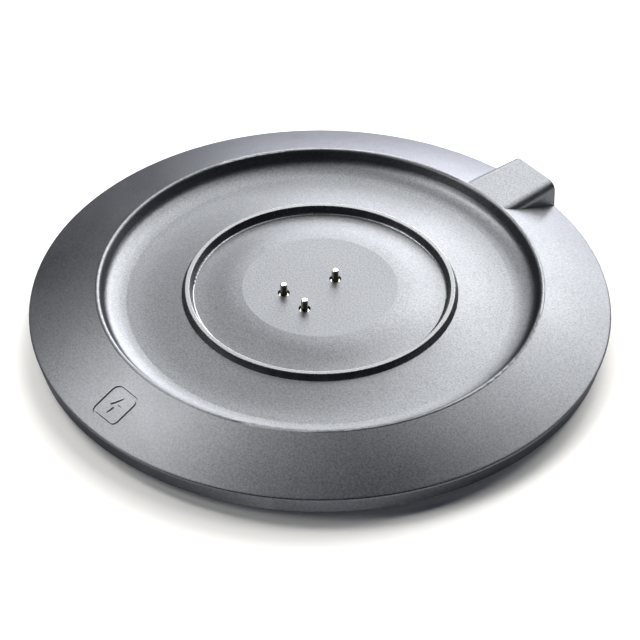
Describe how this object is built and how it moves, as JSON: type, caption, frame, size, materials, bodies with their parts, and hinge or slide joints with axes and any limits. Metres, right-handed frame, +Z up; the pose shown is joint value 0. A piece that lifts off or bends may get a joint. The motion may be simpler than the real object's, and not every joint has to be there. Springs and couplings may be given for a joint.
{
  "type": "charging dock",
  "caption": "Round tabletop charging dock: shallow dished disc with a raised seat ring, a low plateau with spring contacts and a hooded cable socket at the rear edge.",
  "frame": {"origin": "on the disc's axis, in the plane that the foot ring rests on", "axes": "+Z up along the disc's axis; +Y towards the rear hood and its socket; the mark on the rim is at -Y"},
  "size_m": [0.14, 0.14, 0.0153],
  "materials": {
    "cover": "fine metallic dark silver paint, satin",
    "ring": "smooth dark silver, satin",
    "base": "fine moulded texture",
    "foot": "matte",
    "steel": "zinc plated",
    "screw": "black zinc",
    "brass": "satin",
    "label": "blank film",
    "carrier": "glass-filled nylon",
    "gasket": "soft foam",
    "contact": "bright plated",
    "spring": "bright wire",
    "board": "solder mask",
    "solder": "bright",
    "socket": "drawn sheet",
    "chip": "moulded",
    "inductor": "ferrite",
    "passives": "ceramic",
    "connector": "natural nylon",
    "wire_red": "insulation",
    "wire_yellow": "insulation",
    "wire_black": "insulation"
  },
  "bodies": {
    "dock": {"top_cover": "cover", "seat_ring": "ring", "base_plate": "base", "foot_ring": "foot", "base_screws": "screw", "threaded_inserts": "brass", "ballast_plate": "steel", "ballast_screws": "screw", "rating_label": "label", "pin_block": "carrier", "pin_gasket": "gasket", "contact_board": "board", "contact_board_screws": "screw", "solder_joints": "solder", "main_board": "board", "main_board_screws": "screw", "socket_shell": "socket", "socket_tongue": "chip", "socket_contacts": "contact", "socket_stand": "chip", "charge_chip": "chip", "power_inductor": "inductor", "capacitors": "passives", "resistors": "chip", "board_header": "connector", "wire_plug": "connector", "wire_power": "wire_red", "wire_signal": "wire_yellow", "wire_ground": "wire_black", "pin_barrel_1": "contact", "pin_spring_1": "spring", "pin_barrel_2": "contact", "pin_spring_2": "spring", "pin_barrel_3": "contact", "pin_spring_3": "spring"},
    "pin_plunger_1": {"pin_plunger_1": "contact"},
    "pin_plunger_2": {"pin_plunger_2": "contact"},
    "pin_plunger_3": {"pin_plunger_3": "contact"}
  },
  "joints": [
    {"name": "pin_press_1", "type": "slide", "parent": "dock", "child": "pin_plunger_1", "axis": [0, 0, -1], "range_m": [0, 0.0022], "stiffness_N_per_m": 250, "springref_m": -0.0008, "deforming": ["pin_spring_1"]},
    {"name": "pin_press_2", "type": "slide", "parent": "dock", "child": "pin_plunger_2", "axis": [0, 0, -1], "range_m": [0, 0.0022], "stiffness_N_per_m": 250, "springref_m": -0.0008, "deforming": ["pin_spring_2"]},
    {"name": "pin_press_3", "type": "slide", "parent": "dock", "child": "pin_plunger_3", "axis": [0, 0, -1], "range_m": [0, 0.0022], "stiffness_N_per_m": 250, "springref_m": -0.0008, "deforming": ["pin_spring_3"]}
  ]
}
